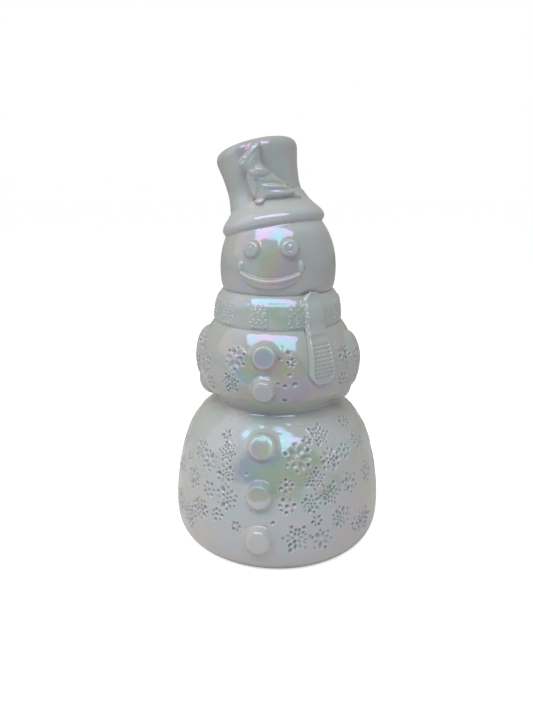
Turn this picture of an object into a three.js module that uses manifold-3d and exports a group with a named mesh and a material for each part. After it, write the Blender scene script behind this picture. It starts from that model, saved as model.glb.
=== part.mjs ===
// A one-piece slip-cast ceramic snowman, about 230 mm tall: two stacked snowballs, a wrapped scarf
// with a hanging end, a round head, a tall crooked hat and a crested bird perched on its brim.
// Millimetres, +Z up, front towards -Y, origin at the middle of the foot.

import * as THREE from "three";
import { mergeVertices } from "three/addons/utils/BufferGeometryUtils.js";
import Module from "manifold-3d";

const wasm = await Module();
wasm.setup();

const degree = Math.PI / 180;

// The three snowballs, each a squashed ball of revolution. A fuller shoulder has a higher power.
const lowerBall = { centre: 14, radius: 64.4, height: 83, power: 2.5, from: 9, to: 81 };
const upperBall = { centre: 106, radius: 47.5, height: 41, power: 2, from: 89, to: 130 };
const head = { centre: 161, radius: 33.4, height: 41, power: 2, from: 153.5, to: 192 };

const foot = { radius: 58, edge: 9 };
const waist = { radius: 37.8, z: 85.2 };
const scarf = { bottom: 131.4, top: 150.2, radius: 37.5, taper: 0.0126, neck: 31.4 };

const arms = { azimuth: 79, z: 109.4, reach: 40.9, across: 13, radial: 9.2, tall: 18.4 };
const hands = { azimuth: 68, z: 97, reach: 39.4, across: 10.5, radial: 8.4, tall: 9.4 };

const tail = { azimuth: 40, top: 151.5, end: 103.8, thick: 2.9, narrow: 6.6, wide: 9 };

// The buttons from the neck down: height up the body and relative size.
const buttons = [
  { z: 119.8, size: 0.94 },
  { z: 102.4, size: 0.86 },
  { z: 70.6, size: 1.06 },
  { z: 47, size: 1 },
  { z: 22.2, size: 1 },
];
const button = { azimuth: -1, radius: 7.3, height: 4, edge: 2 };
const eye = { azimuth: 18.2, z: 175, radius: 4.8, height: 2.7, pupil: 1.9 };
const smile = { bottom: 157.2, arc: 30, halfAngle: 30.5, radius: 2.3 };
const crease = { x: 16.1, z: 165.5, radius: 1.8, tall: 3.2 };

// The hat stands in its own frame, which leans towards -X and a little to the back.
const hat = { x: -2.5, y: 1, z: 184, lean: 11, back: 6, crownShift: -2.8 };

// Radius of a ball at height z.
const radiusAt = ({ centre, radius, height, power }, z) =>
  radius * Math.sqrt(Math.max(0, 1 - (Math.abs(z - centre) / height) ** power));

// Point on a ball, with azimuth measured from the front towards +X.
function pointOn(ball, azimuth, z, proud = 0) {
  const r = radiusAt(ball, z) + proud;
  return new THREE.Vector3(r * Math.sin(azimuth * degree), -r * Math.cos(azimuth * degree), z);
}

// Outward normal of a ball at a point on it.
function normalOn(ball, azimuth, z) {
  const slope = radiusAt(ball, z - 0.5) - radiusAt(ball, z + 0.5);
  const out = pointOn(ball, azimuth, z).setZ(0).normalize();
  return out.setZ(slope).normalize();
}

// A closed three.js geometry as a manifold solid.
function solid(geometry) {
  const bare = geometry.index ? geometry.toNonIndexed() : geometry.clone();
  bare.deleteAttribute("normal");
  bare.deleteAttribute("uv");
  const merged = mergeVertices(bare, 1e-4);
  return new wasm.Manifold(
    new wasm.Mesh({
      numProp: 3,
      vertProperties: merged.attributes.position.array,
      triVerts: new Uint32Array(merged.index.array),
    }),
  );
}

const joined = (solids) => solids.reduce((made, piece) => made.add(piece));

// A profile of [radius, z] points turned about +Z.
function turned(profile, segments) {
  const points = profile.map(([r, z]) => new THREE.Vector2(r, z));
  return new THREE.LatheGeometry(points, segments).rotateX(Math.PI / 2);
}

function ellipsoid([x, y, z], [rx, ry, rz], segments) {
  return new THREE.SphereGeometry(1, segments, Math.round(segments / 2))
    .rotateX(Math.PI / 2)
    .scale(rx, ry, rz)
    .translate(x, y, z);
}

// Turns a geometry whose own axis is +Z to stand on a point, looking along a direction.
function standOn(geometry, point, direction) {
  const turn = new THREE.Quaternion().setFromUnitVectors(new THREE.Vector3(0, 0, 1), direction);
  return geometry.applyQuaternion(turn).translate(point.x, point.y, point.z);
}

// Points up the side of a ball, closer together where it turns in.
function ballRun(ball, steps) {
  const angle = (z) => Math.asin((z - ball.centre) / ball.height);
  return Array.from({ length: steps + 1 }, (_, i) => {
    const a = angle(ball.from) + ((angle(ball.to) - angle(ball.from)) * i) / steps;
    const z = ball.centre + ball.height * Math.sin(a);
    return [radiusAt(ball, z), z];
  });
}

// A quarter round from a level edge up to an upright wall, or back in again.
function quarterRound([fromR, fromZ], [toR, toZ], steps, levelFirst) {
  return Array.from({ length: steps + 1 }, (_, i) => {
    const a = (i / steps) * 90 * degree;
    const [along, rise] = levelFirst
      ? [Math.sin(a), 1 - Math.cos(a)]
      : [1 - Math.cos(a), Math.sin(a)];
    return [fromR + (toR - fromR) * along, fromZ + (toZ - fromZ) * rise];
  });
}

// Outer radius of the wrapped scarf, which narrows upwards.
const wrapRadius = (z) => scarf.radius - scarf.taper * Math.max(0, z - scarf.bottom - 2) ** 2;

// Both balls, the scarf wrap and the head in one profile, with the valleys between them.
function bodySolid() {
  const wall = radiusAt(lowerBall, foot.edge);
  const footEdge = quarterRound([foot.radius, 0], [wall, foot.edge], 4, true);
  const wrapSide = [133.4, 137.5, 141.5, 145.2].map((z) => [wrapRadius(z), z]);
  const wrapTop = quarterRound([34.9, 147.6], [scarf.neck, scarf.top], 3, false);
  const profile = [
    [0, 0],
    ...footEdge,
    ...ballRun(lowerBall, 8).slice(1),
    [waist.radius + 0.6, waist.z - 1.1],
    [waist.radius, waist.z],
    [waist.radius + 0.7, waist.z + 1.1],
    ...ballRun(upperBall, 7),
    [scarf.radius - 0.9, scarf.bottom],
    ...wrapSide,
    ...wrapTop,
    [scarf.neck - 0.3, scarf.top + 0.5],
    [32.2, 151.9],
    ...ballRun(head, 7),
    [0, head.to],
  ];
  return solid(turned(profile, 40));
}

// An arm pressed against the side of the upper ball, with its mitten turned to the front.
function armSolid(side) {
  const part = ({ azimuth, z, reach, across, radial, tall }) =>
    solid(ellipsoid([0, -reach, z], [across, radial, tall], 16).rotateZ(side * azimuth * degree));
  return part(arms).add(part(hands));
}

// The hanging scarf end: a strap down over the wrap and the ball, widening to a round end.
function scarfTailSolid() {
  const strap = new THREE.BoxGeometry(2, 1, 1, 4, 1, 14);
  const position = strap.attributes.position;
  for (let i = 0; i < position.count; i += 1) {
    const side = position.getX(i);
    const outside = position.getY(i) < 0;
    const t = 0.5 - position.getZ(i);
    const z = tail.top + (tail.end - tail.top) * t;
    const rounding = Math.sqrt(Math.max(0.04, 1 - Math.max(0, (t - 0.82) / 0.18) ** 2));
    const widening = Math.min(1, t * 1.3) ** 2;
    const halfWidth = (tail.narrow + (tail.wide - tail.narrow) * widening) * rounding;
    const under = Math.max(radiusAt(upperBall, z), z > scarf.bottom ? wrapRadius(z) : 0);
    const r = outside ? under + tail.thick * (1 - 0.4 * Math.abs(side) ** 3) : under - 4;
    const a = tail.azimuth * degree + (side * halfWidth) / under;
    position.setXYZ(i, r * Math.sin(a), -r * Math.cos(a), z);
  }
  return solid(strap);
}

// A thick round button with a gently domed face and a rounded edge.
function buttonSolid({ z, size }) {
  const ball = z > waist.z ? upperBall : lowerBall;
  const rim = quarterRound(
    [button.radius, button.height - button.edge],
    [button.radius - button.edge, button.height],
    3,
    false,
  );
  const profile = [[0, -4], [button.radius, -4], ...rim, [0, button.height + 0.2]];
  const disc = turned(profile, 18).scale(size, size, size);
  const { azimuth } = button;
  return solid(standOn(disc, pointOn(ball, azimuth, z), normalOn(ball, azimuth, z)));
}

// A raised round eye with a ring groove about its pupil.
function eyeSolid(side) {
  const { radius, height, pupil } = eye;
  const profile = [
    [0, -3],
    [radius, -3],
    [radius, height * 0.5],
    [radius - 0.6, height * 0.85],
    [radius - 1.6, height],
    [pupil + 0.4, height * 0.92],
    [pupil, height * 0.75],
    [pupil - 0.5, height * 0.92],
    [0, height],
  ];
  const azimuth = side * eye.azimuth;
  const disc = turned(profile, 16);
  return solid(standOn(disc, pointOn(head, azimuth, eye.z), normalOn(head, azimuth, eye.z)));
}

// The smile: a rolled lip along an arc on the face, with a small cheek crease over each end.
function smileSolid() {
  const onFace = (x, z) => pointOn(head, Math.asin(x / radiusAt(head, z)) / degree, z, -0.4);
  const onArc = (angle) =>
    onFace(
      smile.arc * Math.sin(angle * degree),
      smile.bottom + smile.arc * (1 - Math.cos(angle * degree)),
    );
  const turns = Array.from({ length: 9 }, (_, i) => smile.halfAngle * (i / 4 - 1));
  const path = new THREE.CatmullRomCurve3(turns.map(onArc));
  const section = new THREE.Shape().absarc(0, 0, smile.radius, 0, 2 * Math.PI);
  const lip = new THREE.ExtrudeGeometry(section, {
    steps: 16,
    curveSegments: 8,
    extrudePath: path,
  });
  const creases = [-1, 1].map((side) => {
    const { x, y, z } = onFace(side * crease.x, crease.z);
    return solid(ellipsoid([x, y, z], [crease.radius, crease.radius, crease.tall], 12));
  });
  return joined([solid(lip), ...creases]);
}

// Puts a geometry made in the hat's own frame into the part's frame.
const inHat = (geometry) =>
  geometry
    .rotateX(-hat.back * degree)
    .rotateY(-hat.lean * degree)
    .translate(hat.x, hat.y, hat.z);

// The hat: a rolled brim under a tall crown that is narrow in the middle and flares to its top.
function hatSolid() {
  const brim = [
    [0, -0.6],
    [26.2, -0.6],
    [28.3, 0.2],
    [29.2, 1.9],
    [29, 3.8],
    [27.5, 6.2],
    [25.1, 9],
    [22.9, 11.8],
    [21.3, 14.6],
    [19.8, 17.5],
    [0, 17.5],
  ];
  const crown = [
    [0, 4],
    [22.6, 4],
    [22.5, 13],
    [21.2, 17.4],
    [20.6, 22],
    [20.7, 27],
    [21.3, 32],
    [22.3, 37],
    [22.9, 40.6],
    [22.2, 43],
    [20.4, 44.6],
    [17, 45.6],
    [9, 46.4],
    [0, 46.7],
  ];
  const crownTurned = turned(crown, 32).translate(hat.crownShift, 0, 0);
  return solid(inHat(turned(brim, 40))).add(solid(inHat(crownTurned)));
}

// An ellipsoid stretched from one point to another, with its two cross radii.
function stretched(from, to, cross, segments = 12) {
  const [start, end] = [new THREE.Vector3(...from), new THREE.Vector3(...to)];
  const along = end.clone().sub(start);
  const middle = start.clone().add(end).multiplyScalar(0.5);
  const bare = ellipsoid([0, 0, 0], [cross[0], cross[1], along.length() / 2], segments);
  return solid(standOn(bare, middle, along.normalize()));
}

// The crested bird: it sits on the brim against the crown, head towards -X and tail towards +X.
function birdSolid() {
  const birdHead = stretched([-9.6, -20.5, 214.6], [-9, -20.5, 224.8], [4.7, 4.8], 14);
  const crest = stretched([-10, -20, 219.5], [-6.4, -18.6, 228.6], [2.5, 3.2]);
  const beak = stretched([-9.6, -21, 220.4], [-16.8, -22.6, 217], [2.8, 3.1]);
  const nape = stretched([-7.2, -19, 223], [-4.6, -18.2, 208], [3.4, 4.4]);
  const breast = stretched([-10.4, -20.2, 216.5], [-7.8, -21.6, 199.4], [4.8, 5.2], 14);
  const body = stretched([-10, -19.6, 213.4], [8.5, -14, 202.6], [5.6, 6], 14);
  const wing = stretched([-7.6, -21.8, 212.2], [11.4, -12.6, 201.8], [3.4, 4.7], 14);
  const rump = stretched([-2, -17.4, 213.6], [16.2, -7, 201], [2.6, 3.2], 14);
  const foot = stretched([-9.2, -24.4, 198.8], [-4.6, -24.4, 199.6], [2, 1.8]);
  return joined([breast, body, birdHead, crest, beak, nape, wing, rump, foot]);
}

// A manifold solid as a three.js geometry.
function geometryOf(made) {
  const { vertProperties, numProp, triVerts } = made.getMesh();
  const positions = new Float32Array(triVerts.length * 3);
  triVerts.forEach((vertex, i) => {
    for (let axis = 0; axis < 3; axis += 1) {
      positions[3 * i + axis] = vertProperties[numProp * vertex + axis];
    }
  });
  const geometry = new THREE.BufferGeometry();
  geometry.setAttribute("position", new THREE.BufferAttribute(positions, 3));
  geometry.computeVertexNormals();
  return geometry;
}

const casting = joined([
  bodySolid(),
  armSolid(-1),
  armSolid(1),
  scarfTailSolid(),
  ...buttons.map(buttonSolid),
  eyeSolid(-1),
  eyeSolid(1),
  smileSolid(),
  hatSolid(),
  birdSolid(),
]);

const pearlGlaze = new THREE.MeshStandardMaterial({
  color: 0xd9dedd,
  roughness: 0.12,
  metalness: 0,
});

const snowman = new THREE.Mesh(geometryOf(casting), pearlGlaze);
snowman.name = "snowman_casting";

const part = new THREE.Group();
part.add(snowman);

export default part;
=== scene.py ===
import bpy
import math
import numpy as np
from mathutils import Euler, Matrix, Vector


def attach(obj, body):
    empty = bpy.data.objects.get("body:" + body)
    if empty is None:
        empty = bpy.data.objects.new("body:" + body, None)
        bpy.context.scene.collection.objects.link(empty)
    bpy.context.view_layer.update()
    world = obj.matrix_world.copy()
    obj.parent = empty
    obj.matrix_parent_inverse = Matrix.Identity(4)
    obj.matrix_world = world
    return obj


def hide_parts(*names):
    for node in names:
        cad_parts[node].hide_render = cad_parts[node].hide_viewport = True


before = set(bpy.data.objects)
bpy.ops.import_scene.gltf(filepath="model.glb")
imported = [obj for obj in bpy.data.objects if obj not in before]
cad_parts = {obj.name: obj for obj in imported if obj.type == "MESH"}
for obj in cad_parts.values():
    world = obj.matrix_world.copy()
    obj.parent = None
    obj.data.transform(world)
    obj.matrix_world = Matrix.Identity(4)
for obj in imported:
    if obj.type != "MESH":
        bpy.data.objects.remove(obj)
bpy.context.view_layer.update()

mm = 0.001
up = Vector((0, 0, 1))


def dropPicks():
    bpy.ops.object.select_all(action="DESELECT")


def pick(*pieces):
    dropPicks()
    for piece in pieces:
        piece.select_set(True)
    bpy.context.view_layer.objects.active = pieces[0]


def settle(piece):
    # leave the object at the origin, with its place in its mesh
    pick(piece)
    bpy.ops.object.transform_apply(location=True, rotation=True, scale=True)
    return piece


def applyModifier(piece, label, kind, **values):
    pick(piece)
    modifier = piece.modifiers.new(label, kind)
    for key, value in values.items():
        setattr(modifier, key, value)
    bpy.ops.object.modifier_apply(modifier=modifier.name)


def softLine(points, perSpan=5):
    # a rounded run through the given points
    points = [np.array(point, float) for point in points]
    ends = [2 * points[0] - points[1]] + points + [2 * points[-1] - points[-2]]
    run = []
    for a, b, c, d in zip(ends, ends[1:], ends[2:], ends[3:]):
        for step in range(perSpan):
            t = step / perSpan
            run.append(0.5 * (2 * b + (c - a) * t + (2 * a - 5 * b + 4 * c - d) * t**2
                              + (3 * b - a - 3 * c + d) * t**3))
    return run + [points[-1]]


def turnedForm(name, line, steps):
    # one vertex drawn out along the outline, then spun about Z
    dropPicks()
    bpy.ops.mesh.primitive_plane_add(size=mm)
    form = bpy.context.object
    form.name = name
    bpy.ops.object.mode_set(mode="EDIT")
    bpy.ops.mesh.select_mode(type="VERT")
    bpy.ops.mesh.select_all(action="SELECT")
    bpy.ops.mesh.merge(type="CENTER")
    bpy.ops.transform.translate(value=(line[0][0] * mm, 0, line[0][1] * mm))
    for start, end in zip(line, line[1:]):
        move = ((end[0] - start[0]) * mm, 0, (end[1] - start[1]) * mm)
        bpy.ops.mesh.extrude_region_move(TRANSFORM_OT_translate={"value": move})
    bpy.ops.mesh.select_all(action="SELECT")
    bpy.ops.mesh.spin(steps=steps, angle=math.tau, center=(0, 0, 0), axis=(0, 0, 1))
    bpy.ops.mesh.select_all(action="SELECT")
    bpy.ops.mesh.remove_doubles(threshold=0.01 * mm)
    bpy.ops.mesh.normals_make_consistent(inside=False)
    bpy.ops.object.mode_set(mode="OBJECT")
    return form


def blob(name, centre, radii, turn=(0, 0, 0), segments=64):
    dropPicks()
    bpy.ops.mesh.primitive_uv_sphere_add(
        segments=segments, ring_count=segments // 2, radius=mm,
        location=Vector(centre) * mm, rotation=turn, scale=radii)
    bpy.context.object.name = name
    return settle(bpy.context.object)


def limb(name, start, end, cross, segments=48):
    # a blob stretched from one point to another
    start, end = Vector(start), Vector(end)
    turn = up.rotation_difference(end - start).to_euler()
    return blob(name, (start + end) / 2, (*cross, (end - start).length / 2), turn, segments)


def standOn(form, point, facing):
    form.location = Vector(point) * mm
    form.rotation_euler = up.rotation_difference(Vector(facing)).to_euler()
    return settle(form)


def copyOf(form, name):
    twin = form.copy()
    twin.data = form.data.copy()
    twin.name = name
    bpy.context.collection.objects.link(twin)
    return twin


def cutLevel(piece, z, keepAbove):
    # a level cut, closed with one flat face whose rim stays crisp
    pick(piece)
    bpy.ops.object.mode_set(mode="EDIT")
    bpy.ops.mesh.select_all(action="SELECT")
    bpy.ops.mesh.bisect(
        plane_co=(0, 0, z * mm), plane_no=(0, 0, 1), use_fill=True,
        clear_inner=keepAbove, clear_outer=not keepAbove)
    bpy.ops.mesh.mark_sharp()
    bpy.ops.object.mode_set(mode="OBJECT")


def fuse(name, forms, voxel, passes):
    # rough forms run together into one skin, softened as a thick glaze softens them
    pick(*forms)
    bpy.ops.object.join()
    piece = bpy.context.object
    piece.name = name
    piece.data.name = name
    applyModifier(piece, "one skin", "REMESH", mode="VOXEL", voxel_size=voxel * mm)
    applyModifier(piece, "glaze softness", "SMOOTH", factor=0.5, iterations=passes)
    return piece


def thinOut(piece):
    # fewer triangles where the skin is plain
    most = 188000
    triangles = sum(len(polygon.vertices) - 2 for polygon in piece.data.polygons)
    if triangles > most:
        applyModifier(piece, "fewer triangles", "DECIMATE", ratio=most / triangles)


def cushionGrid(name, place, high, deep, columns, rows):
    # a fine grid laid on a surface by place(u, v, proud), raised by high(u, v), given a back
    dropPicks()
    bpy.ops.mesh.primitive_grid_add(x_subdivisions=columns, y_subdivisions=rows, size=2)
    form = bpy.context.object
    form.name = name
    flat = np.array([vertex.co[:2] for vertex in form.data.vertices])
    u, v = (1 + flat.T) / 2
    for vertex, across, along, proud in zip(form.data.vertices, u, v, high(u, v)):
        vertex.co = place(float(across), float(along), float(proud)) * mm
    applyModifier(form, "thickness", "SOLIDIFY", thickness=deep * mm, offset=-1)
    return form


# relief: pressed and raised marks are painted as weights on the skin, then moved by Displace

def skinOf(piece):
    count = len(piece.data.vertices)
    spots, facing = np.empty(count * 3), np.empty(count * 3)
    piece.data.vertices.foreach_get("co", spots)
    piece.data.vertices.foreach_get("normal", facing)
    return spots.reshape(-1, 3) / mm, facing.reshape(-1, 3)


def spotAt(skin, azimuth, z):
    # the outermost place on the skin at an azimuth and height, and the way it faces
    spots, facing = skin
    angle = math.radians(azimuth)
    reach = spots[:, :2] @ (math.sin(angle), -math.cos(angle))
    aside = spots[:, :2] @ (math.cos(angle), math.sin(angle))
    near = (abs(aside) < 1.6) & (abs(spots[:, 2] - z) < 1.6) & (reach > 0)
    best = np.where(near, reach, -1).argmax()
    around = near & (reach > reach[best] - 1.5)
    normal = facing[around].mean(axis=0)
    return spots[best], normal / np.linalg.norm(normal)


def markOval(weights, skin, centre, normal, along, half, wide, share=1.0, rims=None):
    # a smooth oval mark, long in the direction along, with a swollen rim about it if asked
    spots, facing = skin
    offset = spots - centre
    close = (np.einsum("ij,ij->i", offset, offset) < (2 * max(half, wide)) ** 2) & (facing @ normal > 0)
    offset = offset[close]
    across = np.cross(normal, along)
    away = (offset @ along / half) ** 2 + (offset @ across / wide) ** 2
    mark = share * np.clip(1 - away, 0, 1) ** 1.2
    weights[close] = np.maximum(weights[close], mark)
    if rims is not None:
        ring = share * np.exp(-(((away**0.5 - 1.35) / 0.34) ** 2))
        rims[close] = np.maximum(rims[close], ring)


def markLine(weights, skin, line, width, share=1.0):
    # a groove or ridge along a run of points in space
    spots, _ = skin
    line = [np.array(point, float) for point in line]
    for start, end in zip(line, line[1:]):
        run = end - start
        middle, reach = (start + end) / 2, np.linalg.norm(run) / 2 + width
        close = np.flatnonzero((abs(spots - middle) < reach).all(axis=1))
        t = np.clip((spots[close] - start) @ run / (run @ run), 0, 1)
        away = np.linalg.norm(spots[close] - start - t[:, None] * run, axis=1) / width
        weights[close] = np.maximum(weights[close], share * np.clip(1 - away**2, 0, 1) ** 1.5)


# each ring of a flake: distance out, first angle, half length, half width, count
flakeKinds = {
    "dots": [(0, 0, 1.25, 1.15, 1), (3.9, 0, 1.25, 1.1, 7)],
    "petals": [(3.5, 0, 2.3, 1.5, 6), (6.2, 30, 1.0, 0.9, 6)],
    "star": [(0, 0, 0.95, 0.95, 1), (2.6, 30, 1.2, 0.8, 6), (5.1, 0, 2.0, 1.35, 6), (6.6, 30, 0.95, 0.8, 6)],
    "lace": [(2.2, 0, 1.35, 0.9, 6), (4.6, 17, 1.35, 0.85, 6), (4.6, -17, 1.35, 0.85, 6), (7.0, 0, 1.25, 1.0, 6)],
    "small": [(2.4, 0, 1.25, 0.95, 6)],
    "one": [(0, 0, 1.5, 1.1, 1)],
}


def stampFlake(weights, rims, skin, azimuth, z, kind, size, turn):
    # one stamped snowflake: rings of small ovals about a centre, pressed unevenly by hand
    centre, normal = spotAt(skin, azimuth, z)
    level = np.cross((0, 0, 1), normal)
    level /= np.linalg.norm(level)
    rise = np.cross(normal, level)
    for away, offset, half, wide, count in flakeKinds[kind]:
        for i in range(count):
            uneven = math.sin(5.3 * i + 2.1 * azimuth + z)
            a = math.radians(turn + offset + 360 * i / count + 7 * uneven)
            along = math.cos(a) * level + math.sin(a) * rise
            place = centre + size * away * (1 + 0.1 * uneven) * along
            press = 0.72 + 0.28 * math.sin(3.7 * i + azimuth)
            markOval(weights, skin, place, normal, along, size * half * (1.1 + 0.15 * uneven), size * wide * 1.12,
                     press, rims)


def applyRelief(piece, label, weights, height):
    group = piece.vertex_groups.new(name=label)
    for i in np.flatnonzero(weights > 0.01):
        group.add([int(i)], float(min(1, weights[i])), "REPLACE")
    applyModifier(piece, label, "DISPLACE", direction="NORMAL", mid_level=0,
                  strength=height * mm, vertex_group=label)
    piece.vertex_groups.clear()


def keepOnPoints(piece, label, values):
    kept = piece.data.attributes.new(label, "FLOAT", "POINT")
    kept.data.foreach_set("value", values.astype(np.float32))


def markHollows(piece, reach):
    # how deep each place lies below its surroundings, kept for glaze pooling, painted shade in the hollows and a
    # painted highlight over the crests
    spots, facing = skinOf(piece)
    mesh = piece.data
    ends = np.empty(len(mesh.edges) * 2, dtype=int)
    mesh.edges.foreach_get("vertices", ends)
    a, b = ends.reshape(-1, 2).T
    count = len(spots)
    share = np.maximum(np.bincount(np.r_[a, b], minlength=count), 1)
    mean = spots.copy()
    for _ in range(reach):
        for axis in range(3):
            line = mean[:, axis]
            total = np.bincount(np.r_[a, b], weights=np.r_[line[b], line[a]], minlength=count)
            mean[:, axis] = 0.5 * line + 0.5 * total / share
    depth = np.einsum("ij,ij->i", mean - spots, facing)
    keepOnPoints(piece, "hollow", np.clip(depth / 0.35, -1, 1))


def markFilm(piece, places):
    # where the lustre film lies thinner or thicker than elsewhere, in nanometres
    spots, _ = skinOf(piece)
    azimuth = np.degrees(np.arctan2(spots[:, 0], -spots[:, 1]))
    shift = np.zeros(len(spots))
    for at, z, wide, tall, change in places:
        shift += change * np.exp(-((azimuth - at) / wide) ** 2 - ((spots[:, 2] - z) / tall) ** 2)
    keepOnPoints(piece, "filmShift", shift)


def markPaintedReflection(piece, reflectionPools):
    # painted reflection of the dim room in the lustre, in patches: how far inside one a place lies, and its hue from
    # violet-blue 0 to rose 1
    spots, _ = skinOf(piece)
    azimuth = np.degrees(np.arctan2(spots[:, 0], -spots[:, 1]))
    cover, hue = np.full(len(spots), -1.0), np.zeros(len(spots))
    for at, z, wide, tall, atRim, atMiddle, slope, most in reflectionPools:
        aside = ((azimuth - at + 180) % 360 - 180) / wide
        inside = np.minimum(1 - (aside**2 + ((spots[:, 2] - z) / tall) ** 2) ** 0.5, most)
        deeper = inside > cover
        cover = np.where(deeper, inside, cover)
        hue = np.where(deeper, atRim + (atMiddle - atRim) * np.clip(inside / most, 0, 1) + slope * aside, hue)
    keepOnPoints(piece, "reflectionCover", cover)
    keepOnPoints(piece, "reflectionHue", hue)


# the outline that both snowballs, the neck and the head are turned from
core = {
    "outline": [(0, -2), (50, -2), (56, -1.2), (59.2, 0.5), (61.8, 3), (63.4, 6.6), (64.2, 11), (64.4, 16),
                (64.2, 22), (63.4, 30), (62.2, 38), (60.4, 47), (58, 56), (54.4, 65), (49, 73), (46.3, 76),
                (41.8, 80.2), (38.2, 83.2), (36.9, 85.2), (38, 87), (41, 90), (45, 95), (46.9, 101),
                (47.3, 107), (46.6, 113.5), (44.9, 119.5), (42.2, 125), (38.7, 130.4), (34.5, 134.5), (31, 139),
                (30.4, 145), (31, 149), (32.4, 152), (33.1, 155.4),
                (33.4, 161), (33.1, 167), (31.8, 174), (29.2, 181), (25.6, 187), (20, 193), (11, 197.4), (0, 199)],
    "steps": 200,
    "waistCut": 85.1, "neckCut": 140,  # where one piece ends and the next begins
}
coreLine = softLine(core["outline"], 4)
coreZ = np.array([point[1] for point in coreLine])
coreR = np.array([point[0] for point in coreLine])


def coreReach(z):
    return float(np.interp(z, coreZ[8:], coreR[8:]))


def onCore(azimuth, z, proud=0.0):
    angle = math.radians(azimuth)
    r = coreReach(z) + proud
    return Vector((r * math.sin(angle), -r * math.cos(angle), z))


def facingOn(azimuth, z):
    slope = (coreReach(z - 0.8) - coreReach(z + 0.8)) / 1.6
    angle = math.radians(azimuth)
    return Vector((math.sin(angle), -math.cos(angle), slope)).normalized()


def coreSlab(name, low, high):
    form = turnedForm(name, coreLine, core["steps"])
    if low is not None:
        cutLevel(form, low, keepAbove=True)
    cutLevel(form, high, keepAbove=False)
    return form


# buttons down the front
button = {
    "outline": [(0, -4), (10, -4), (9.4, -0.8), (8.5, -0.1), (7.8, 0.8), (7.3, 1.9), (6.7, 3.0), (6.0, 3.8),
                (5.4, 4.15), (4.9, 4.1), (2.6, 4.2), (0, 4.2)],
    "lower": [(70.6, 1.06), (47.0, 1.0), (22.2, 1.0)],  # height up the body, size
    "upper": [(119.8, 0.94), (102.4, 0.86)],
    "azimuth": -1,
}


def buttonsOn(places):
    first = turnedForm("button", softLine(button["outline"], 3), 64)
    made = []
    for z, size in places:
        form = copyOf(first, f"button at {z:.0f}")
        form.scale = (size, size, size)
        made.append(standOn(form, onCore(button["azimuth"], z), facingOn(button["azimuth"], z)))
    bpy.data.objects.remove(first)
    return made


# the wide lower snowball
lowerBall = {
    "voxel": 0.56,
    "passes": 4,
    "press": -1.25,
    "dimples": 700, "dimpleDepth": 0.22,
    # azimuth, height, kind, size, turn
    "flakes": [(-28, 75, "small", 0.9, 10), (-24, 68, "lace", 0.75, 0), (-33, 60, "petals", 0.85, 15),
               (-22, 57, "star", 0.8, 5), (-19, 44, "star", 0.95, 0), (-13, 29, "small", 0.9, 0),
               (-36, 32, "star", 0.9, 20), (-24, 33, "dots", 0.8, 0), (20, 67, "petals", 1.15, 0),
               (37, 76, "lace", 0.85, 10), (40, 64, "star", 0.9, 0), (29, 56, "lace", 0.8, 20),
               (13, 54.5, "dots", 0.85, 0), (14, 43, "dots", 1.0, 12), (25, 43, "star", 0.8, 20),
               (36, 46, "lace", 0.9, 0), (18, 25, "lace", 1.1, 0), (31, 22, "petals", 0.95, 15),
               (43, 31, "star", 0.9, 0), (50, 48, "petals", 0.9, 5), (-32, 45, "dots", 0.9, 10),
               (-44, 47, "petals", 0.9, 0), (-44, 63, "star", 0.8, 10), (27, 75, "small", 0.8, 0),
               (-47, 24, "lace", 0.9, 0), (28, 33, "small", 1.0, 0), (7, 34, "one", 1.0, 40),
               (-9, 59, "one", 0.8, 0), (52, 66, "dots", 0.9, 0), (54, 22, "dots", 1.0, 0)],
    "backRows": [(24, 26, "lace", 1.0), (45, 29, "petals", 0.95), (64, 33, "star", 0.85), (76, 40, "dots", 0.9)],
    # painted reflection patches: azimuth, height, half width in degrees, half height, hue at the rim, hue inside,
    # drift of hue across, most cover
    "reflectionPools": [(3, 60, 22, 12, 0.05, 0.42, 0.22, 1), (22, 63, 13, 13, 0.3, 0.6, 0.1, 1),
              (-1, 71, 6.5, 6.5, 0.85, 0.75, -0.3, 1), (-1, 49.5, 6.5, 4, 0.6, 0.62, 0, 1),
              (24, 50, 22, 8, 0.3, 0.4, 0, 0.1), (150, 50, 30, 16, 0.1, 0.5, 0.2, 1),
              (-125, 60, 26, 13, 0.1, 0.5, -0.2, 1)],
    "film": [(-8, 77, 5, 4, 22), (1, 75, 5, 3, 40), (10, 73, 6, 4, 20)],  # azimuth, height, spread, change
    "rims": 0.3,
}

lowerForms = [coreSlab("lower snowball", None, 94), *buttonsOn(button["lower"])]
lower = fuse("lowerSnowball", lowerForms, lowerBall["voxel"], lowerBall["passes"])
skin = skinOf(lower)
pressed, rims = np.zeros(len(skin[0])), np.zeros(len(skin[0]))
for azimuth, z, kind, size, turn in lowerBall["flakes"]:
    stampFlake(pressed, rims, skin, azimuth, z, kind, size, turn)
for z, apart, kind, size in lowerBall["backRows"]:  # round the sides and back
    for i in range(int((360 - 124) // apart) + 1):
        azimuth = 64 + apart * i + 5 * math.sin(3.1 * i + z)
        stampFlake(pressed, rims, skin, azimuth, z + 3 * math.sin(2.3 * i + z), kind, size, 17 * i)
        if i % 2:
            stampFlake(pressed, rims, skin, azimuth + apart / 2, z - 8, "small", 0.9, 9 * i)
chance = np.random.default_rng(7)
for place in chance.integers(0, len(skin[0]), lowerBall["dimples"]):  # small uneven dimples in the glaze
    normal = skin[1][place]
    along = np.cross(normal, (0.3, 0.2, 1.0))
    markOval(pressed, skin, skin[0][place], normal, along / np.linalg.norm(along),
             chance.uniform(0.9, 2.0), chance.uniform(0.7, 1.3), lowerBall["dimpleDepth"] * chance.uniform(0.4, 1))
applyRelief(lower, "swollen", rims * (1 - np.clip(2 * pressed, 0, 1)), lowerBall["rims"])
applyRelief(lower, "stamped", pressed, lowerBall["press"])
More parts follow.
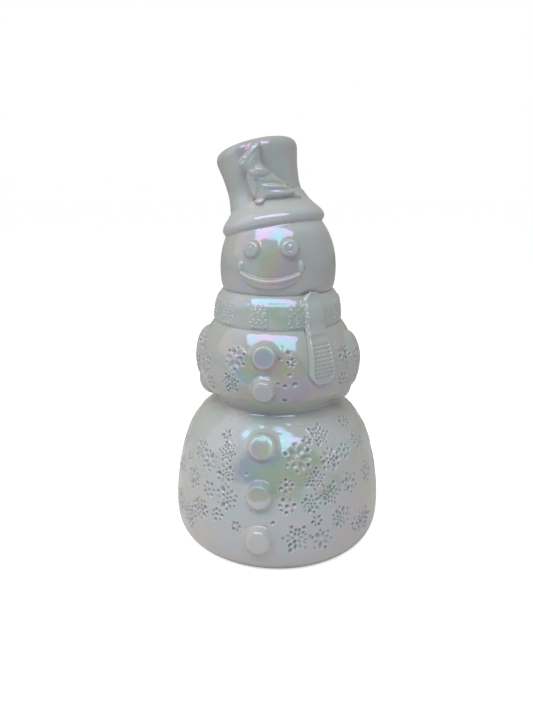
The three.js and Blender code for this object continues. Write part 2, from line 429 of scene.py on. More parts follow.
applyModifier(lower, "glaze softness", "SMOOTH", factor=0.5, iterations=1)
markHollows(lower, 8)
markPaintedReflection(lower, lowerBall["reflectionPools"])
markFilm(lower, lowerBall["film"])
thinOut(lower)
cutLevel(lower, core["waistCut"], keepAbove=False)
cutLevel(lower, 0, keepAbove=True)
print("lower snowball", len(lower.data.polygons))


# arms pressed to the sides
arm = {
    "azimuth": 79, "z": 109.4, "reach": 40.9, "radii": (13, 9.2, 18.4),
    "handAzimuth": 68, "handZ": 97, "handReach": 39.4, "handRadii": (10.5, 8.4, 9.4),
    "leftNearer": 0.7,
}


def roundAbout(azimuth, reach, z):
    angle = math.radians(azimuth)
    return (reach * math.sin(angle), -reach * math.cos(angle), z)


def armForms(side):
    upper, hand = side * arm["azimuth"], side * arm["handAzimuth"]
    reach = arm["reach"] - (arm["leftNearer"] if side < 0 else 0)
    return [
        blob("arm", roundAbout(upper, reach, arm["z"]), arm["radii"], (0, 0, math.radians(upper))),
        blob("mitten", roundAbout(hand, arm["handReach"], arm["handZ"]), arm["handRadii"],
             (0, 0, math.radians(hand))),
    ]


# torso: the upper snowball with its arms and buttons
torsoBall = {
    "voxel": 0.47,
    "passes": 5,
    "press": -1.15,
    "flakes": [(-24.5, 120, "petals", 0.95, 0), (-25, 103, "lace", 0.75, 10), (15, 124, "one", 1.0, 0),
               (11.5, 121, "one", 0.8, 0), (16, 119, "small", 0.75, 0), (16, 112.5, "one", 0.9, 0),
               (10, 108, "one", 0.9, 0), (13, 103.5, "one", 0.9, 0), (19, 105.5, "one", 1.1, 0),
               (13, 95, "one", 1.0, 0), (60, 119, "petals", 0.8, 10), (-53, 112, "star", 0.85, 0),
               (-66, 121, "petals", 0.75, 0), (-70, 104, "lace", 0.85, 0), (-46, 99, "dots", 0.85, 0),
               (76, 116, "star", 0.8, 0), (82, 101, "lace", 0.8, 0), (58, 102, "dots", 0.8, 0)],
    "backRows": [(118, 34, "petals", 0.85), (101, 31, "lace", 0.85)],
    # painted reflection of the dim room in the lustre
    "reflectionPools": [(-13, 114, 10, 9, 0.05, 0.5, 0.15, 1), (14, 114, 15, 9, 0.95, 0.36, 0, 1),
              (-1, 120.4, 6.6, 5.2, 0.0, 0.0, 0.05, 1), (-16, 99, 9, 6, 0.9, 0.6, 0, 0.3),
              (19, 102, 14, 8, 0.9, 0.95, 0, 0.25), (180, 108, 28, 12, 0.1, 0.5, 0.1, 1)],
    "film": [(5, 126, 5, 3, 44), (13, 128, 6, 4, 20), (-12, 128, 5, 3, 26)],
    "rims": 0.32,
}

torsoForms = [coreSlab("torso", 76, 148), *buttonsOn(button["upper"]), *armForms(-1), *armForms(1)]
torso = fuse("torso", torsoForms, torsoBall["voxel"], torsoBall["passes"])
skin = skinOf(torso)
pressed, rims = np.zeros(len(skin[0])), np.zeros(len(skin[0]))
for azimuth, z, kind, size, turn in torsoBall["flakes"]:
    stampFlake(pressed, rims, skin, azimuth, z, kind, size, turn)
for z, apart, kind, size in torsoBall["backRows"]:
    for i in range(int((360 - 210) // apart) + 1):
        azimuth = 108 + apart * i + 4 * math.sin(2.7 * i + z)
        stampFlake(pressed, rims, skin, azimuth, z + 2 * math.sin(1.9 * i), kind, size, 13 * i)
        stampFlake(pressed, rims, skin, azimuth + apart / 2, z - 7, "small", 0.8, 9 * i)
applyRelief(torso, "swollen", rims * (1 - np.clip(2 * pressed, 0, 1)), torsoBall["rims"])
applyRelief(torso, "stamped", pressed, torsoBall["press"])
applyModifier(torso, "glaze softness", "SMOOTH", factor=0.5, iterations=1)
markHollows(torso, 10)
markPaintedReflection(torso, torsoBall["reflectionPools"])
markFilm(torso, torsoBall["film"])
thinOut(torso)
cutLevel(torso, core["waistCut"], keepAbove=True)
cutLevel(torso, core["neckCut"], keepAbove=False)
print("torso", len(torso.data.polygons))


# the knitted scarf: a wrap round the neck and one hanging end
scarf = {
    "voxel": 0.38,
    "passes": 3,
    "wrap": [(27, 140), (27.2, 133), (30, 131.8), (35, 131.4), (36.8, 131.7), (37.5, 133), (37.5, 135.4),
             (37.1, 138.6), (36.7, 142), (36.1, 144.4), (34.8, 146.8), (33, 149.3), (32, 150.1), (30.6, 150.4),
             (28, 149.4), (27, 147), (27, 140)],
    "patches": [-41, -9, 23, 73, 105, 137, 169, 201, 233, 265, 292],
    "patchRows": 8, "patchColumns": 5, "patchLow": 134.4, "stitch": 1.75, "stitchHalf": 1.3, "stitchWide": 0.7,
    "ribs": 180, "ribHeights": (134.5, 138, 142.5, 146.5), "clearOfEnd": 10,
    "raise": 0.7,
    "press": -0.6,
    "azimuth": 41, "top": 152.2, "end": 103.5, "proud": 2.9, "deep": 6, "columns": 34, "rows": 96,
    "halfWidths": [(152, 6.4), (149, 6.9), (144, 6.9), (137, 6.7), (131, 6.9), (125, 7.6), (119, 8.4), (112, 9.2),
                   (106, 9.0)],
    # painted reflection of the dim room in the lustre
    "reflectionPools": [(-14, 140, 6, 7, 0.95, 0.9, 0, 0.12), (14, 139, 20, 9, 0.4, 0.36, 0, 0.1),
              (200, 140, 30, 9, 0.4, 0.36, 0, 0.1)],
    "film": [(-4, 148, 18, 3, 22)],
}
wrapLine = softLine(scarf["wrap"], 4)
wrapZ = np.array([point[1] for point in wrapLine[14:-14]])
wrapR = np.array([point[0] for point in wrapLine[14:-14]])


def bedReach(z):
    # what the hanging end lies on: the wrap, then the snowball
    wrap = float(np.interp(z, wrapZ, wrapR)) if 130.4 < z < 149.9 else 0
    return max(coreReach(z), wrap)


def tailHalf(z):
    heights, halves = zip(*reversed(scarf["halfWidths"]))
    roundEnd = max(0.0, 1 - (max(0, scarf["end"] + 8 - z) / 8) ** 2) ** 0.5
    roundTop = max(0.0, 1 - (max(0, z - scarf["top"] + 5) / 5.2) ** 2) ** 0.5
    return float(np.interp(z, heights, halves)) * max(0.15, min(roundEnd, roundTop))


def tailPoint(side, z, proud=0.0):
    # a place on the hanging end: side runs from -1 to 1 across it
    bed = np.mean([bedReach(z + step) for step in (-3.6, -2.4, -1.2, 0, 1.2, 2.4, 3.6)])
    angle = math.radians(scarf["azimuth"] - 0.04 * (scarf["top"] - z)) + side * tailHalf(z) / bed
    return Vector(((bed + proud) * math.sin(angle), -(bed + proud) * math.cos(angle), z))


def tailPlace(u, v, proud):
    return tailPoint(2 * u - 1, scarf["end"] + (scarf["top"] - scarf["end"]) * v, proud)


def tailHigh(u, v):
    # a rolled rim down both sides and round the foot, sunk a little between
    rim = np.minimum(np.minimum(u, 1 - u) * 16, v * (scarf["top"] - scarf["end"]))
    sunk = 0.8 * np.clip((rim - 2.2) / 1.4, 0, 1) * np.clip((0.6 - v) * 10, 0, 1)
    edge = 2.2 * (1 - np.clip(rim / 2.4, 0, 1)) ** 2
    bar = 0.4 * np.exp(-((v - 0.56) / 0.02) ** 2)
    return scarf["proud"] - 1.1 * u - sunk - edge + bar


def scarfForms():
    return [turnedForm("scarf wrap", wrapLine, 180),
            cushionGrid("hanging end", tailPlace, tailHigh, scarf["deep"], scarf["columns"], scarf["rows"])]


def scarfRelief(pressed, raised, skin):
    # knobbly square patches between plain bands, round the wrap
    stitch, middle = scarf["stitch"], (scarf["patchColumns"] - 1) / 2
    for azimuth in scarf["patches"]:
        for row in range(scarf["patchRows"]):
            z = scarf["patchLow"] + stitch * row
            for column in range(scarf["patchColumns"]):
                shift = 0.5 if row % 2 else 0
                at = azimuth + math.degrees(stitch * (column - middle + shift) / bedReach(z))
                if abs(at - scarf["azimuth"]) < scarf["clearOfEnd"] - 1:
                    continue
                centre, normal = spotAt(skin, at, z)
                lean = 0.7 if (row + column) % 2 else -0.7
                along = np.cross(normal, np.cross((0.0, 0.0, 1.0), normal))
                along = along / np.linalg.norm(along) + lean * np.cross(normal, along)
                along = -along / np.linalg.norm(along)
                share = 0.7 + 0.3 * math.sin(7 * row + 3 * column)
                markOval(raised, skin, centre, normal, along, scarf["stitchHalf"], scarf["stitchWide"], share)
    for i in range(scarf["ribs"]):  # fine ribs in the plain bands, and the twisted lower edge
        azimuth = 360 / scarf["ribs"] * i
        fromPatch = min(abs((azimuth - patch + 180) % 360 - 180) for patch in scarf["patches"])
        if abs(azimuth - scarf["azimuth"]) > scarf["clearOfEnd"]:
            edge = [roundAbout(azimuth, bedReach(132.2), 132.2), roundAbout(azimuth + 1.6, bedReach(133.6), 133.6)]
            markLine(pressed, skin, edge, 0.55, 0.5)
            if fromPatch > 8:
                rib = [roundAbout(azimuth + 0.4 * math.sin(z + i), bedReach(z), z) for z in scarf["ribHeights"]]
                markLine(pressed, skin, rib, 0.6, 0.2)
    # rows of knit stitches on the hanging end
    for row in range(9):
        z = 125 - 2.05 * row
        for column in range(6):
            side = -0.6 + 0.24 * column
            proud = 2.1 - 0.55 * (1 + side)
            dash = [tailPoint(side - 0.03, z, proud), tailPoint(side + 0.03, z, proud)]
            markLine(pressed, skin, dash, 0.9, 0.8)


scarfPiece = fuse("scarf", scarfForms(), scarf["voxel"], scarf["passes"])
skin = skinOf(scarfPiece)
pressed, raised = np.zeros(len(skin[0])), np.zeros(len(skin[0]))
scarfRelief(pressed, raised, skin)
applyRelief(scarfPiece, "raised", raised, scarf["raise"])
applyRelief(scarfPiece, "pressed", pressed, scarf["press"])
applyModifier(scarfPiece, "glaze softness", "SMOOTH", factor=0.5, iterations=1)
markHollows(scarfPiece, 10)
markPaintedReflection(scarfPiece, scarf["reflectionPools"])
markFilm(scarfPiece, scarf["film"])
thinOut(scarfPiece)
print("scarf", len(scarfPiece.data.polygons))


# the face: two ringed eyes, a rolled smile and a small crease at each end of it
face = {
    "eyeOutline": [(0, -3), (6.4, -3), (5.8, -0.6), (5.1, 0.1), (4.8, 1.0), (4.4, 1.8), (3.7, 2.45), (2.9, 2.7),
                   (2.2, 2.58), (1.6, 2.52), (1.0, 2.75), (0, 2.9)],
    "eyes": [(-17.8, 174.6, 0.93), (18.7, 175.4, 1.04)],  # azimuth, height, size
    "smileArc": 30, "smileBottom": 158.4, "smileSpread": 31.5,
    "rolls": [(0.3, 1.2, 1.3), (1.1, 0.2, 1.9), (2.6, -0.8, 2.5)],  # drop below the line, how proud, thickness
    "creases": [(-16.3, 162.4, -15.8, 168.4), (16.3, 162.6, 16, 169)],
}


def faceSpot(x, z, proud):
    return onCore(math.degrees(math.asin(x / coreReach(z))), z, proud)


def smileForm(drop, proud, lip):
    # a roll of clay along the smile, thinner at its ends
    dropPicks()
    bpy.ops.curve.primitive_nurbs_path_add()
    form = bpy.context.object
    form.name = "smile"
    bpy.ops.object.mode_set(mode="EDIT")
    bpy.ops.curve.select_all(action="SELECT")
    bpy.ops.curve.subdivide(number_cuts=2)
    bpy.ops.object.mode_set(mode="OBJECT")
    points = form.data.splines[0].points
    for i, point in enumerate(points):
        side = 2 * i / (len(points) - 1) - 1
        angle = math.radians(face["smileSpread"]) * side
        x = face["smileArc"] * math.sin(angle)
        z = face["smileBottom"] - drop + face["smileArc"] * (1 - math.cos(angle))
        point.co = (*(faceSpot(x, z, proud) * mm), 1)
        point.radius = 1 - 0.5 * abs(side) ** 3
    form.data.bevel_depth = lip * mm
    form.data.bevel_resolution = 6
    form.data.resolution_u = 8
    form.data.use_fill_caps = True
    bpy.ops.object.convert(target="MESH")
    return bpy.context.object


def faceForms():
    eye = turnedForm("eye", softLine(face["eyeOutline"], 3), 48)
    made = [smileForm(*roll) for roll in face["rolls"]]
    for azimuth, z, size in face["eyes"]:
        form = copyOf(eye, "eye on the face")
        form.scale = (size, size, size)
        made.append(standOn(form, onCore(azimuth, z), facingOn(azimuth, z)))
    bpy.data.objects.remove(eye)
    for x0, z0, x1, z1 in face["creases"]:
        made.append(limb("crease", faceSpot(x0, z0, 0), faceSpot(x1, z1, 0.2), (1.7, 1.7)))
    return made


# the crooked hat
hat = {
    "place": (-2.5, 1, 184), "lean": 11, "back": 6, "crownShift": -1.2, "crownLean": 2.4, "round": 22,
    "brim": [(0, -0.8), (20, -0.8), (26.2, -0.7), (28.2, 0.1), (29.2, 1.8), (29.1, 3.6), (27.8, 6), (25.2, 9),
             (22.6, 12.2), (20.9, 15.2), (19.2, 18), (16, 18.8), (0, 18.8)],
    "crown": [(0, 4), (21.4, 4), (21.4, 12), (20.7, 17.4), (20.4, 22), (20.7, 27), (21.3, 32), (22.3, 37),
              (22.9, 40.4), (22.4, 43), (20.8, 44.7), (17.6, 45.7), (9, 46.6), (0, 46.9)],
}
hatTurn = Euler((-math.radians(hat["back"]), -math.radians(hat["lean"]), 0))
sideLine = [(27.8, 5.8), (25.6, 8.6), (23.6, 11.4), (22.1, 14.4), (20.7, 17.4), (20.4, 22), (20.7, 27),
            (21.3, 32), (22.3, 37), (22.9, 40.4), (22.4, 43), (20.8, 44.7), (17.6, 45.7)]


def onHat(s, h, proud):
    # s millimetres round the crown from its front, h up it
    r = float(np.interp(h, [point[1] for point in sideLine], [point[0] for point in sideLine])) + proud
    aside = hat["crownShift"] - h * math.tan(math.radians(hat["crownLean"]))
    angle = s / hat["round"]
    spot = Vector((aside + r * math.sin(angle), -r * math.cos(angle), h))
    spot.rotate(hatTurn)
    return spot + Vector(hat["place"])


def hatForms():
    brim = turnedForm("hat brim", softLine(hat["brim"], 4), 160)
    crown = turnedForm("hat crown", softLine(hat["crown"], 4), 140)
    crown.location.x = hat["crownShift"] * mm
    crown.rotation_euler.y = -math.radians(hat["crownLean"])
    settle(crown)
    for form in (brim, crown):
        form.location = Vector(hat["place"]) * mm
        form.rotation_euler = hatTurn
        settle(form)
    return [brim, crown]


# the crested bird in high relief against the crown: outlines in millimetres round and up it
bird = {
    "left": -9, "right": 25, "low": 8.5, "high": 43.4, "under": -1.4, "deep": 8, "columns": 96, "rows": 100,
    # rise, softness of the edge, outline
    "body": (4.4, 6.0, [(-0.4, 39.8), (-3.4, 37.6), (-6.0, 35.8), (-7.0, 33.4), (-6.4, 31.2), (-4.4, 29.2),
                        (-4.7, 25.4), (-4.9, 22.0), (-4.3, 18.2), (-2.8, 15.4), (0.4, 13.8), (5, 13.6), (9.9, 13.2),
                        (15.5, 13.2), (21, 11.6), (23, 12.6), (21.4, 15.2), (17.0, 18.8), (12.6, 23.4), (9.0, 27.0),
                        (6.2, 29.8), (5.0, 33.2), (5.6, 37.6), (6.4, 40.4), (4.8, 42.4), (1.8, 41.6)]),
    "head": (2.4, 5.6, [(-0.8, 40.2), (-3.8, 37.8), (-6.6, 35.8), (-7.4, 33.2), (-6.0, 30.8), (-3.2, 29.2), (0.4, 25.6),
                        (5.0, 25.0), (8.2, 27.0), (5.8, 31.4), (6.0, 37.0), (6.6, 41.2), (4.4, 42.8), (1.2, 41.8)]),
    "breast": (1.5, 4.0, [(-4.4, 28.4), (-4.9, 22.4), (-4.0, 17.6), (-1.2, 15.8), (0.6, 19.4), (0.4, 25), (0.2, 29)]),
    "wing": (1.7, 4.4, [(-0.4, 27.6), (4.4, 30.8), (9.8, 27.2), (13.6, 22.6), (17.8, 17.6), (18.2, 14.4),
                        (13.6, 13.0), (9.0, 13.8), (4.8, 15.2), (1.8, 17.8), (-0.2, 21.4), (-0.8, 24.6)]),
    "foot": (2.6, 1.8, [(-2.6, 14.2), (0.6, 14.8), (3.0, 13.4), (1.0, 11.4), (-1.8, 12.0)]),
    "feathers": [[(0.4, 23.4), (2.8, 21.7), (6, 20.8), (9.8, 20.4), (13.4, 20.0)],
                 [(0.8, 21.6), (2.6, 19.4), (6, 17.6), (10, 16.9), (14.8, 16.4)],
                 [(1.6, 19.2), (3.2, 17.4), (6.2, 15.6), (10.4, 14.7)],
                 [(15.2, 18.2), (17.6, 16.2), (21, 13.8)]],
    "crest": [[(-1.4, 36.2), (0.8, 38.6), (3.4, 40.2), (5.2, 40.6)], [(-0.6, 33.8), (1.4, 36.2), (3.4, 37.4)],
              [(-4.8, 33.6), (-2.6, 34.4), (-1.6, 33.2)]],
    "press": -0.85,
    "beakNotch": [(-6.0, 30.4), (-4.2, 28.8)],
}


def insideBy(s, h, outline):
    # how far a place lies inside an outline, less than nothing outside it
    s, h = np.asarray(s, float), np.asarray(h, float)
    near, inside = np.full(s.shape, 1e9), np.zeros(s.shape, bool)
    for (s0, h0), (s1, h1) in zip(outline, outline[1:] + outline[:1]):
        ds, dh = s1 - s0, h1 - h0
        t = np.clip(((s - s0) * ds + (h - h0) * dh) / (ds**2 + dh**2), 0, 1)
        near = np.minimum(near, np.hypot(s - s0 - t * ds, h - h0 - t * dh))
        inside ^= ((h0 > h) != (h1 > h)) & (s < s0 + ds * (h - h0) / (dh or 1e-9))
    return np.where(inside, near, -near)


def rounded(depth, soft):
    return np.sqrt(np.clip(1 - np.clip(1 - depth / soft, 0, 1) ** 2, 0, 1))


def birdSpot(u, v):
    return bird["left"] + (bird["right"] - bird["left"]) * u, bird["low"] + (bird["high"] - bird["low"]) * v


def birdHigh(u, v):
    s, h = birdSpot(u, v)
    high = np.full(s.shape, bird["under"])
    for layer in ("body", "foot"):
        rise, soft, outline = bird[layer]
        depth = insideBy(s, h, outline)
        high = np.maximum(high, np.where(depth > 0, rise * rounded(depth, soft), 2.5 * depth))
    for layer in ("head", "breast", "wing"):
        rise, soft, outline = bird[layer]
        high += rise * rounded(insideBy(s, h, outline), soft)
    return high


def birdPlace(u, v, proud):
    return onHat(*birdSpot(u, v), proud)


def birdForm():
    for layer in ("body", "head", "breast", "wing", "foot"):
        rise, soft, outline = bird[layer]
        smooth = softLine(outline + outline[:1], 3)[:-1]
        bird[layer] = (rise, soft, [tuple(point) for point in smooth])
    return cushionGrid("bird", birdPlace, birdHigh, bird["deep"], bird["columns"], bird["rows"])


# head, hat and bird in one skin
top = {
    "voxel": 0.45,
    "passes": 3,
    # painted reflection of the dim room in the lustre
    "reflectionPools": [(6, 168, 22, 12, 0.78, 0.72, 0.36, 1), (-40, 225, 12, 4, 0.9, 0.95, 0, 0.14),
              (-9, 225, 4, 5, 1, 1, 0, 0.16), (170, 170, 26, 10, 0.1, 0.5, 0.2, 1)],
    "film": [(-9, 179, 8, 6, -48), (9, 180, 8, 8, 24), (9, 197, 4, 2.5, -44), (-4, 199, 6, 4, 34)],
}

topForms = [coreSlab("head", 132, 197), *faceForms(), *hatForms(), birdForm()]
head = fuse("headAndHat", topForms, top["voxel"], top["passes"])
skin = skinOf(head)
pressed = np.zeros(len(skin[0]))
for line in bird["feathers"]:
    markLine(pressed, skin, [onHat(s, h, 5.6 if s < 16 else 4.4) for s, h in softLine(line, 3)], 1.7)
for line in bird["crest"] + [bird["beakNotch"]]:
    markLine(pressed, skin, [onHat(s, h, 6.2) for s, h in softLine(line, 3)], 1.5, 0.7)
applyRelief(head, "feathers", pressed, bird["press"])
applyModifier(head, "glaze softness", "SMOOTH", factor=0.5, iterations=2)
markHollows(head, 10)
markPaintedReflection(head, top["reflectionPools"])
markFilm(head, top["film"])
thinOut(head)
cutLevel(head, core["neckCut"], keepAbove=True)
print("head and hat", len(head.data.polygons))


# pearl glaze, and the bare clay underneath
glaze = {
    # colour up the figure, from the foot rim at 0 to the hat at 1, with painted shade at the foot rim and painted light
    # on the lower ball, scarf and brim, which face the light above
    "body": [(0.0, (0.12, 0.13, 0.13)), (0.012, (0.24, 0.26, 0.26)), (0.024, (0.50, 0.56, 0.54)),
             (0.3, (0.50, 0.575, 0.545)), (0.36, (0.47, 0.53, 0.505)), (0.40, (0.38, 0.44, 0.41)),
             (0.55, (0.40, 0.465, 0.43)), (0.58, (0.43, 0.515, 0.485)), (0.64, (0.42, 0.50, 0.475)),
             (0.67, (0.38, 0.445, 0.425)), (0.78, (0.375, 0.44, 0.425)), (0.80, (0.47, 0.54, 0.545)),
             (0.86, (0.46, 0.53, 0.53)), (0.89, (0.365, 0.43, 0.42)), (1.0, (0.36, 0.43, 0.42))],
    "tints": [(0.0, (0.36, 0.48, 0.43)), (0.5, (0.44, 0.48, 0.45)), (1.0, (0.41, 0.45, 0.49))],
    "tintShare": 0.3,
    # hue of the painted reflection patches from 0 to 1
    "lustre": [(0.0, (0.29, 0.31, 0.45)), (0.16, (0.24, 0.36, 0.40)), (0.36, (0.27, 0.40, 0.29)),
               (0.56, (0.37, 0.40, 0.26)), (0.78, (0.39, 0.36, 0.33)), (1.0, (0.36, 0.34, 0.38))],
    "paintedReflectionShare": 0.72,
    # painted shade in the hollows, partly glaze pooling
    "poolShade": (0.25, 0.29, 0.33),
    # painted highlight over the crests, partly glaze breaking thin
    "crest": (0.62, 0.68, 0.67),
    "roughness": (0.06, 0.15),
    "film": (304, 362),
    "filmIndex": 1.72,
}


def node(tree, kind, **values):
    made = tree.nodes.new(kind)
    for key, value in values.items():
        if key in made.inputs:
            made.inputs[key].default_value = value
        else:
            setattr(made, key, value)
    return made


def rampOf(tree, stops, mode="EASE"):
    ramp = node(tree, "ShaderNodeValToRGB")
    ramp.color_ramp.interpolation = mode
    kept = ramp.color_ramp.elements
    while len(kept) < len(stops):
        kept.new(0.5)
    for stop, (at, colour) in zip(kept, stops):
        stop.position = at
        stop.color = (*colour, 1)
    return ramp


def rangeOf(tree, low, high, toLow, toHigh):
    made = node(tree, "ShaderNodeMapRange")
    for key, value in zip(("From Min", "From Max", "To Min", "To Max"), (low, high, toLow, toHigh)):
        made.inputs[key].default_value = value
    return made


def mixOf(tree, factor, a, b):
    # factor, a and b are sockets or plain values
    made = node(tree, "ShaderNodeMix", data_type="RGBA")
    for key, value in (("Factor", factor), ("A", a), ("B", b)):
        socket = next(one for one in made.inputs if one.name == key and one.enabled)
        if isinstance(value, bpy.types.NodeSocket):
            tree.links.new(value, socket)
        else:
            socket.default_value = value
    return next(one for one in made.outputs if one.enabled)


def pearlGlaze():
    material = bpy.data.materials.new("pearl glaze")
    material.use_nodes = True
    tree = material.node_tree
    link = tree.links.new
    shader = tree.nodes["Principled BSDF"]
    place = node(tree, "ShaderNodeTexCoord").outputs["Object"]

    # painted light and shade by height: lighter on the lower ball, scarf and brim, which face the light above, painted
    # shade at the foot rim, and drifting between two greys
    height = node(tree, "ShaderNodeSeparateXYZ")
    link(place, height.inputs["Vector"])
    fromFoot = rangeOf(tree, 0, 232 * mm, 0, 1)
    link(height.outputs["Z"], fromFoot.inputs["Value"])
    body = rampOf(tree, glaze["body"], "LINEAR")
    link(fromFoot.outputs["Result"], body.inputs["Fac"])
    drift = node(tree, "ShaderNodeTexNoise", Scale=14, Detail=3, Roughness=0.5)
    link(place, drift.inputs["Vector"])
    drifting = rangeOf(tree, 0.3, 0.7, 0, 1)
    link(drift.outputs["Fac"], drifting.inputs["Value"])
    tints = rampOf(tree, glaze["tints"])
    link(drifting.outputs["Result"], tints.inputs["Fac"])
    colour = mixOf(tree, glaze["tintShare"], body.outputs["Color"], tints.outputs["Color"])

    # painted reflection of the dim room: patches of blue, green, gold and rose with a wavering rim
    cover = node(tree, "ShaderNodeAttribute", attribute_name="reflectionCover")
    hue = node(tree, "ShaderNodeAttribute", attribute_name="reflectionHue")
    waver = node(tree, "ShaderNodeTexNoise", Scale=60, Detail=3, Roughness=0.55)
    link(place, waver.inputs["Vector"])
    shifts = {}
    for name, source, much in (("cover", cover, 0.3), ("hue", hue, 0.18)):
        shift = rangeOf(tree, 0.3, 0.7, -much, much)
        link(waver.outputs["Fac"], shift.inputs["Value"])
        shifts[name] = node(tree, "ShaderNodeMath", operation="ADD")
        link(source.outputs["Fac"], shifts[name].inputs[0])
        link(shift.outputs["Result"], shifts[name].inputs[1])
    reflectionBands = rampOf(tree, glaze["lustre"])
    link(shifts["hue"].outputs["Value"], reflectionBands.inputs["Fac"])
    reflectionCovered = rangeOf(tree, 0.0, 0.3, 0, glaze["paintedReflectionShare"])
    link(shifts["cover"].outputs["Value"], reflectionCovered.inputs["Value"])
    colour = mixOf(tree, reflectionCovered.outputs["Result"], colour, reflectionBands.outputs["Color"])

    # painted shade: darker and cooler in the hollows, partly glaze pooling there; and a painted highlight: whiter over
    # the crests, partly glaze breaking thin
    hollow = node(tree, "ShaderNodeAttribute", attribute_name="hollow")
    pooledShade = rangeOf(tree, 0.12, 0.9, 0, 0.85)
    link(hollow.outputs["Fac"], pooledShade.inputs["Value"])
    colour = mixOf(tree, pooledShade.outputs["Result"], colour, (*glaze["poolShade"], 1))
    crestHighlight = rangeOf(tree, -0.15, -0.9, 0, 0.75)
    link(hollow.outputs["Fac"], crestHighlight.inputs["Value"])
    colour = mixOf(tree, crestHighlight.outputs["Result"], colour, (*glaze["crest"], 1))
    link(colour, shader.inputs["Base Color"])

    # uneven gloss
    smear = node(tree, "ShaderNodeTexNoise", Scale=55, Detail=4, Roughness=0.6)
    link(place, smear.inputs["Vector"])
    gloss = rangeOf(tree, 0.3, 0.7, *glaze["roughness"])
    link(smear.outputs["Fac"], gloss.inputs["Value"])
    link(gloss.outputs["Result"], shader.inputs["Roughness"])

    # the lustre film drifts in thickness
    thick = node(tree, "ShaderNodeTexNoise", Scale=85, Detail=4, Roughness=0.55, Distortion=0.8)
    link(place, thick.inputs["Vector"])
    film = rangeOf(tree, 0.27, 0.73, *glaze["film"])
    link(thick.outputs["Fac"], film.inputs["Value"])
    painted = node(tree, "ShaderNodeAttribute", attribute_name="filmShift")
    thickness = node(tree, "ShaderNodeMath", operation="ADD")
    link(film.outputs["Result"], thickness.inputs[0])
    link(painted.outputs["Fac"], thickness.inputs[1])
    link(thickness.outputs["Value"], shader.inputs["Thin Film Thickness"])
    shader.inputs["Thin Film IOR"].default_value = glaze["filmIndex"]
    shader.inputs["IOR"].default_value = 1.52

    # brushed-on glaze lies slightly wavy, with a fine orange peel
    wave = node(tree, "ShaderNodeTexNoise", Scale=75, Detail=2, Roughness=0.5)
    peel = node(tree, "ShaderNodeTexNoise", Scale=420, Detail=2, Roughness=0.5)
    link(place, wave.inputs["Vector"])
    link(place, peel.inputs["Vector"])
    wavy = node(tree, "ShaderNodeBump", Strength=0.55, Distance=0.5 * mm)
    fine = node(tree, "ShaderNodeBump", Strength=0.3, Distance=0.09 * mm)
    link(wave.outputs["Fac"], wavy.inputs["Height"])
    link(peel.outputs["Fac"], fine.inputs["Height"])
    link(wavy.outputs["Normal"], fine.inputs["Normal"])
    link(fine.outputs["Normal"], shader.inputs["Normal"])
    return material


def bareClay():
    material = bpy.data.materials.new("bare clay")
    material.use_nodes = True
    tree = material.node_tree
    shader = tree.nodes["Principled BSDF"]
    place = node(tree, "ShaderNodeTexCoord").outputs["Object"]
    grain = node(tree, "ShaderNodeTexNoise", Scale=180, Detail=5, Roughness=0.65)
    tree.links.new(place, grain.inputs["Vector"])
    ramp = rampOf(tree, [(0, (0.56, 0.53, 0.48)), (1, (0.70, 0.68, 0.63))])
    tree.links.new(grain.outputs["Fac"], ramp.inputs["Fac"])
    tree.links.new(ramp.outputs["Color"], shader.inputs["Base Color"])
    shader.inputs["Roughness"].default_value = 0.85
    return material


glazeMaterial, clayMaterial = pearlGlaze(), bareClay()
for piece in (lower, torso, scarfPiece, head):
    piece.data.materials.clear()
    piece.data.materials.append(glazeMaterial)
    pick(piece)
    bpy.ops.object.shade_smooth()
    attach(piece, "root")
    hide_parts("snowman_casting")
lower.data.materials.append(clayMaterial)
for polygon in lower.data.polygons:
    if polygon.normal.z < -0.99 and polygon.center.z < 0.2 * mm:
        polygon.material_index = 1
        polygon.use_smooth = False
print("glazed")


# floor, light and camera
studio = {
    "softbox": {"azimuth": -4, "elevation": 56, "away": 0.8, "size": (1.0, 0.32), "watts": 5.2},
    "left": {"azimuth": -75, "elevation": 35, "away": 1.0, "size": (0.7, 0.9), "watts": 1.2},
    "aim": 0.11,
    "room": 0.46,
    "frontShade": 0.12,
    "floorGlow": 0.68,
}

dropPicks()
bpy.ops.mesh.primitive_plane_add(size=40)
floor = bpy.context.object
floor.name = "floor"
floorMaterial = bpy.data.materials.new("pale floor")
floorMaterial.use_nodes = True
tree = floorMaterial.node_tree
floorShader = tree.nodes["Principled BSDF"]
floorShader.inputs["Base Color"].default_value = (0.9, 0.9, 0.9, 1)
floorShader.inputs["Roughness"].default_value = 0.7
floorShader.inputs["Emission Color"].default_value = (1, 1, 1, 1)
floorSight = node(tree, "ShaderNodeLightPath")
floorGlow = rangeOf(tree, 0, 1, 0, studio["floorGlow"])
tree.links.new(floorSight.outputs["Is Camera Ray"], floorGlow.inputs["Value"])
tree.links.new(floorGlow.outputs["Result"], floorShader.inputs["Emission Strength"])
floor.data.materials.append(floorMaterial)


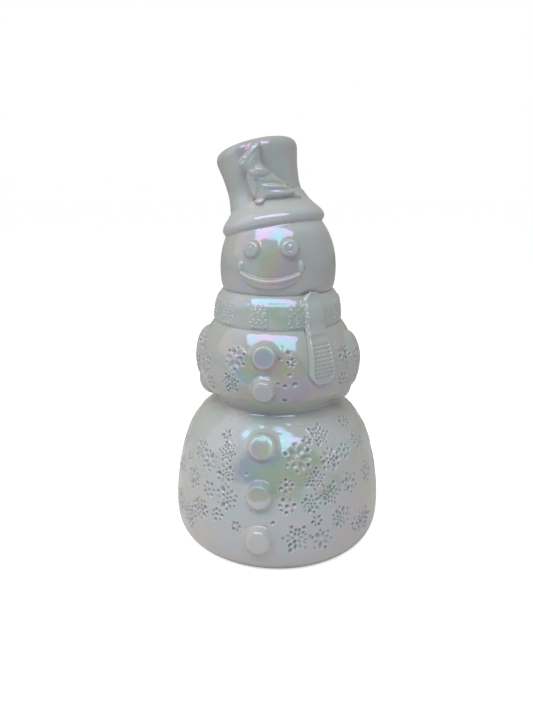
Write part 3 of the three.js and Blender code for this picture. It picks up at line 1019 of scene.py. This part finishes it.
def areaLight(name, azimuth, elevation, away, size, watts):
    a, e = math.radians(azimuth), math.radians(elevation)
    way = Vector((math.sin(a) * math.cos(e), -math.cos(a) * math.cos(e), math.sin(e)))
    bpy.ops.object.light_add(type="AREA", location=way * away + up * studio["aim"])
    light = bpy.context.object
    light.name = name
    light.rotation_euler = way.to_track_quat("Z", "Y").to_euler()
    light.data.shape = "RECTANGLE"
    light.data.size, light.data.size_y = size
    light.data.energy = watts
    return light


areaLight("softbox", **studio["softbox"])
areaLight("left window", **studio["left"])

room = bpy.data.worlds.new("room")
bpy.context.scene.world = room
room.use_nodes = True
tree = room.node_tree
link = tree.links.new
light = tree.nodes["Background"]
light.inputs["Color"].default_value = (1, 1, 1, 1)
# the room in front is dim, the paper behind and at the sides is bright
way = node(tree, "ShaderNodeTexCoord").outputs["Generated"]
towards = node(tree, "ShaderNodeVectorMath", operation="DOT_PRODUCT")
towards.inputs[1].default_value = (0.15, -0.95, 0.26)
link(way, towards.inputs[0])
shade = rangeOf(tree, 0.05, 0.75, studio["room"], studio["frontShade"])
shade.interpolation_type = "SMOOTHSTEP"
link(towards.outputs["Value"], shade.inputs["Value"])
sight = node(tree, "ShaderNodeLightPath")
seen = node(tree, "ShaderNodeMix", data_type="FLOAT")
seen.inputs["B"].default_value = 1.0
link(sight.outputs["Is Camera Ray"], seen.inputs["Factor"])
link(shade.outputs["Result"], seen.inputs["A"])
link(seen.outputs["Result"], light.inputs["Strength"])
bpy.context.scene.view_settings.view_transform = "Standard"

view = {"azimuth": 9, "away": 0.313, "height": 0.2013, "aside": -0.0067, "down": 16.6, "lens": 27.04}
turn = math.radians(view["azimuth"])
lensData = bpy.data.cameras.new("camera")
lensData.lens = view["lens"]
lensData.sensor_width = 36
lensData.clip_start = 0.01
camera = bpy.data.objects.new("camera", lensData)
bpy.context.collection.objects.link(camera)
camera.location = (
    view["away"] * math.sin(turn) + view["aside"] * math.cos(turn),
    -view["away"] * math.cos(turn) + view["aside"] * math.sin(turn),
    view["height"],
)
camera.rotation_euler = (math.radians(90 - view["down"]), 0, turn)
bpy.context.scene.camera = camera
